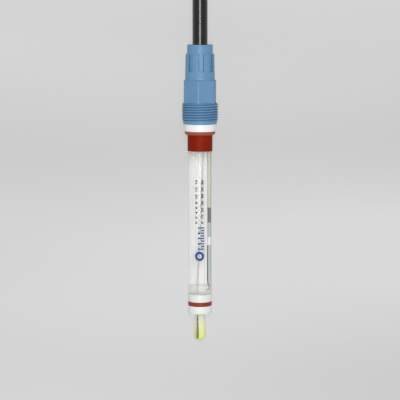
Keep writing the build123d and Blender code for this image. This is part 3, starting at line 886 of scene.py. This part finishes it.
# Reference wire: tarnished silver, laid on the reference tube's left side, under its open
# end and back in a small hook.
wire_thickness = 0.52
tarnished = finish(
    "tarnished_silver", (0.06, 0.065, 0.06), (0.03, 0.034, 0.03), 0.3, 0.5, 0.02, metallic=0.3
)
rod(
    "silver_wire",
    [
        (3.62, -64.6, 0.74),
        (3.62, -78, 0.76),
        (3.66, -86.2, 0.78),
        (4.30, -87.5, 0.85),
        (4.85, -88.3, 0.9),
        (4.25, -89.7, 0.9),
        (3.3, -90.6, 0.8),
    ],
    wire_thickness,
    tarnished,
    "silver_wire",
    "reference_wire",
)


# Gel: the clear reference gel that fills the tube round the stem. Its underside takes a
# near-white backing of painted light, so the shaft looks whiter than the bench behind it.
gel_radius = 5.65
gel_foot = -87.5
gel_top = 18.0
gel_skin = veil("milky_gel", (0.96, 0.97, 0.95), (0.94, 0.95, 0.93), 0.10, 14)
gel_bore = veil("gel_bore", (0.96, 0.97, 0.95), (0.94, 0.95, 0.93), 0.0, 9)
gel = fit(
    turned(
        "clear_gel",
        [
            (stem_radius + 0.05, gel_foot, 0),
            (gel_radius, gel_foot, 0.2),
            (gel_radius, gel_top, 0),
            (stem_radius + 0.05, gel_top, 0),
        ],
        electrode,
        columns=96,
        sharp=60,
    ),
    gel_skin,
    "clear_gel",
    "electrolyte_gel",
)
line_inside(gel, gel_bore, electrode)
# Painted light: a near-white, almost opaque backing on the faces that look down, in place of the
# light seen through the glass.
painted_light_backing = veil(
    "painted_light_backing", (0.97, 0.975, 0.955), (0.955, 0.96, 0.94), 0.95, 14, through=0.06
)
back_with_painted_light(gel, painted_light_backing)


# Bottom plug: clear resin cast in the foot of the tube round the stem. It is cloudier
# than the gel, and its top shows as a faint line.
resin_skin = veil("cast_resin", (0.98, 0.985, 0.965), (0.965, 0.97, 0.95), 0.3, 8)
resin_bore = veil("resin_bore", (0.93, 0.94, 0.93), (0.88, 0.89, 0.88), 0.0, 3)
resin = fit(
    turned(
        "resin_plug",
        [
            (neck_radius + 0.1, tube_foot, 0.1),
            (gel_radius, tube_foot, 0.1),
            (gel_radius, gel_foot - 0.05, 0.1),
            (stem_radius + 0.1, gel_foot - 0.05, 0.1),
        ],
        electrode,
        columns=96,
        sharp=60,
    ),
    resin_skin,
    "clear_resin",
    "bottom_plug",
)
line_inside(resin, resin_bore, electrode)
# Its underside takes the same painted-light backing as the gel.
back_with_painted_light(resin, painted_light_backing)


# Print: plain scales on the glass, screened in black and blue ink and baked on. They are
# numbers, ticks and a ring, in two lines that read from the bulb towards the head.
ink_radius = 6.76


def printed(name, flat, left, right, low, high, ink):
    """Wraps a flat mesh round the glass, its length along the electrode."""
    spots = [vertex.co.copy() for vertex in flat.vertices]
    span_x = min(p.x for p in spots), max(p.x for p in spots)
    span_y = min(p.y for p in spots), max(p.y for p in spots)
    for vertex, p in zip(flat.vertices, spots):
        station = low + (high - low) * (p.x - span_x[0]) / (span_x[1] - span_x[0])
        offset = right + (left - right) * (p.y - span_y[0]) / (span_y[1] - span_y[0])
        angle = offset / ink_radius
        spot = Vector((ink_radius * sin(angle), station, ink_radius * cos(angle)))
        vertex.co = electrode @ spot
    piece = bpy.data.objects.new(name, flat)
    bpy.context.scene.collection.objects.link(piece)
    fit(piece, ink, "shaft_glass")


def figures(name, words):
    """A flat mesh of plain figures."""
    line = bpy.data.curves.new(name, "FONT")
    line.body = words
    line.offset = 0.03
    written = bpy.data.objects.new(name + "_line", line)
    flat = bpy.data.meshes.new_from_object(written)
    bpy.data.objects.remove(written)
    flat.materials.clear()
    return flat


def ticks(name, count, long_every, width):
    """A flat mesh of ticks, with each so many longer than the rest."""
    mesh = bmesh.new()
    for i in range(count):
        reach = 1.0 if i % long_every == 0 else 0.55
        corners = [(i, 0), (i + width, 0), (i + width, reach), (i, reach)]
        mesh.faces.new([mesh.verts.new((x, y, 0)) for x, y in corners])
    flat = bpy.data.meshes.new(name)
    mesh.to_mesh(flat)
    mesh.free()
    return flat


def ring_mark(name, inner):
    """A flat ring."""
    mesh = bmesh.new()
    rounds = [
        [mesh.verts.new((r * cos(2 * pi * i / 48), r * sin(2 * pi * i / 48), 0)) for i in range(48)]
        for r in (inner, 1.0)
    ]
    for i in range(48):
        j = (i + 1) % 48
        mesh.faces.new((rounds[0][i], rounds[0][j], rounds[1][j], rounds[1][i]))
    flat = bpy.data.meshes.new(name)
    mesh.to_mesh(flat)
    mesh.free()
    return flat


black_ink = finish(
    "black_ink", (0.012, 0.012, 0.014), (0.008, 0.008, 0.010), 0.2, 0.6, 0.002, shine=0.2
)
blue_ink = finish(
    "blue_ink", (0.022, 0.080, 0.290), (0.017, 0.068, 0.260), 0.2, 0.6, 0.002, shine=0.2
)
figures_foot = -51.7
figures_top = -27
low_figures = figures("low_figures", "0  2  4  6  8  10  12  14")
high_figures = figures("high_figures", "0  10  20  30  40  50  60")
printed("low_figures", low_figures, -2.75, -1.45, figures_foot, figures_top, black_ink)
printed("high_figures", high_figures, 0.55, 2.0, figures_foot, figures_top, black_ink)
printed("blue_ticks", ticks("blue_ticks", 9, 2, 0.5), -1.2, 2.3, -66.4, -53.6, blue_ink)
printed("blue_ring", ring_mark("blue_ring", 0.52), -2.9, 2.35, -72.8, -67.5, blue_ink)


# Junction: a white holder, a red-brown ring squeezed out proud of it, and a white collar
# whose spigot goes up through both to the glass.
holder_foot = -96.7
collar_top = -99.15
spigot_radius = 4.9
collar_bore = 3.15
ring_white = finish("ring_white", (0.86, 0.875, 0.85), (0.83, 0.845, 0.82), 0.6, 0.4, 0.008)
junction_rubber = finish(
    "junction_rubber", (0.34, 0.058, 0.024), (0.24, 0.036, 0.016), 0.5, 0.4, 0.02, shine=0.2
)
fit(
    turned(
        "junction_holder_ring",
        [
            (spigot_radius + 0.05, holder_foot, 0),
            (tube_radius, holder_foot, 0.15),
            (tube_radius, tube_foot, 0.1),
            (spigot_radius + 0.05, tube_foot, 0),
        ],
        electrode,
    ),
    ring_white,
    "white_plastic",
    "junction_holder",
)
fit(
    turned(
        "junction_ring",
        [
            (spigot_radius + 0.05, collar_top, 0),
            (tube_radius + 0.05, collar_top, 0.5),
            (tube_radius + 0.05, holder_foot, 0.5),
            (spigot_radius + 0.05, holder_foot, 0),
        ],
        electrode,
    ),
    junction_rubber,
    "junction_rubber",
    "junction_seal",
)
fit(
    turned(
        "junction_foot",
        [
            (collar_bore, neck_foot, 0.1),
            (tube_radius - 0.05, neck_foot, 0.85),
            (tube_radius - 0.05, collar_top, 0.2),
            (spigot_radius, collar_top, 0),
            (spigot_radius, tube_foot, 0),
            (collar_bore, tube_foot, 0),
        ],
        electrode,
    ),
    ring_white,
    "white_plastic",
    "junction_collar",
)


# Cable: black, glossy and round, out of the head and over the near fold of a hank that is
# laid in line with the electrode, twice round, and in to the plug inside the loop. The
# two layers lie one on the other, and the cable's points are in metres.
cable_radius = 0.0042
upper = 0.0135
lower = 0.0049
plug_height = 0.00725
left_run = 0.0
right_run = 0.0508
run_start = 0.1460564
run_end = 0.3110564
fold_centre = 0.0254
fold_radius = 0.0254
fold_reach = fold_radius * 1.035
far_turns = (165, 135, 105, 75, 45, 15)
near_turns = (-15, -45, -75, -105, -135, -165)
exit_point = Vector((0, 0.0840564, 0.0115117))


def folded(turns, fold_end, height):
    """The points round one end of the hank."""
    ways = [Vector((cos(radians(turn)), sin(radians(turn)), 0)) for turn in turns]
    return [Vector((fold_centre, fold_end, height)) + way * fold_reach for way in ways]


cable_points = [
    electrode @ Vector((0, well_top, 0)),
    exit_point + Vector((0, 0.008, 0.0003)),
    exit_point + Vector((0, 0.027, 0.0010)),
    Vector((left_run, exit_point.y + 0.046, upper + 0.0004)),
    Vector((left_run, run_start + 0.006, upper)),
    Vector((left_run, run_start + 0.060, upper)),
    Vector((left_run, run_start + 0.115, upper)),
    Vector((left_run, run_end - 0.012, upper)),
]
cable_points += folded(far_turns, run_end, upper)
cable_points += [
    Vector((right_run, run_end - 0.012, upper)),
    Vector((right_run, run_end - 0.032, upper)),
    Vector((right_run, run_end - 0.050, upper - 0.001)),
    Vector((right_run, run_end - 0.066, lower + 0.0035)),
    Vector((right_run, run_end - 0.084, lower)),
    Vector((right_run, run_end - 0.120, lower)),
    Vector((right_run, run_start + 0.010, lower)),
]
cable_points += folded(near_turns, run_start, lower)
cable_points += [
    Vector((left_run, run_start + 0.010, lower)),
    Vector((left_run, run_start + 0.060, lower)),
    Vector((left_run, run_start + 0.115, lower)),
    Vector((left_run, run_end - 0.012, lower)),
]
cable_points += folded(far_turns, run_end, lower)
cable_points += [
    Vector((right_run, run_end - 0.012, lower)),
    Vector((right_run - 0.0003, run_end - 0.028, lower)),
    Vector((right_run - 0.0052, run_end - 0.047, lower)),
    Vector((right_run - 0.0150, run_end - 0.065, lower + 0.0004)),
    Vector((fold_centre + 0.0022, run_end - 0.083, 0.0069)),
    Vector((fold_centre, run_end - 0.104, plug_height)),
    Vector((fold_centre, run_end - 0.125, plug_height)),
]
cable_line = bpy.data.curves.new("cable", "CURVE")
cable_line.dimensions = "3D"
cable_line.bevel_depth = cable_radius
cable_line.bevel_resolution = 10
cable_line.resolution_u = 10
cable_line.use_fill_caps = True
run = cable_line.splines.new("NURBS")
run.points.add(len(cable_points) - 1)
for point, spot in zip(run.points, cable_points):
    point.co = (*spot, 1)
run.order_u = 3
run.use_endpoint_u = True
cable = bpy.data.objects.new("black_cable", cable_line)
bpy.context.scene.collection.objects.link(cable)
cable_jacket = finish(
    "cable_jacket", (0.009, 0.009, 0.010), (0.006, 0.006, 0.007), 0.9, 0.22, 0.001, shine=0.7
)
fit(cable, cable_jacket, "cable_jacket", "cable_lead", "cable_hank", "cable_tail")


# Ties: two woven straps, each wrapped once round the doubled cable and pressed closed, to
# keep the hank flat.
repaint(
    "hank_ties",
    finish("woven_strap", (0.035, 0.035, 0.037), (0.018, 0.018, 0.02), 0.25, 0.85, 0.12),
)


# Plug: a nickel-plated bayonet plug crimped on the cable's end, with a rubber boot. The
# nut turns on the barrel; a spring washer draws it home.
nickel = finish(
    "bright_nickel", (0.70, 0.68, 0.64), (0.62, 0.60, 0.56), 0.5, 0.2, 0.006, metallic=1.0
)
spring_steel = finish(
    "spring_steel", (0.50, 0.49, 0.47), (0.42, 0.41, 0.40), 0.4, 0.32, 0.01, metallic=1.0
)
boot_rubber = finish(
    "boot_rubber", (0.02, 0.02, 0.021), (0.012, 0.012, 0.013), 0.5, 0.55, 0.03
)
insulator_white = finish(
    "insulator_white", (0.82, 0.81, 0.77), (0.76, 0.75, 0.71), 0.4, 0.45, 0.01
)
gilt_pin = finish(
    "gilt_pin", (0.80, 0.58, 0.24), (0.72, 0.50, 0.19), 0.3, 0.22, 0.005, metallic=1.0
)
gasket_red = finish("gasket_red", (0.30, 0.05, 0.035), (0.22, 0.035, 0.025), 0.4, 0.5, 0.02)
for node, material in [
    ("cable_boot", boot_rubber),
    ("crimp_ferrule", nickel),
    ("plug_body", nickel),
    ("bayonet_nut", nickel),
    ("plug_insulator", insulator_white),
    ("centre_pin", gilt_pin),
    ("plug_gasket", gasket_red),
    ("retaining_ring", spring_steel),
    ("wave_washer", spring_steel),
]:
    repaint(node, material)
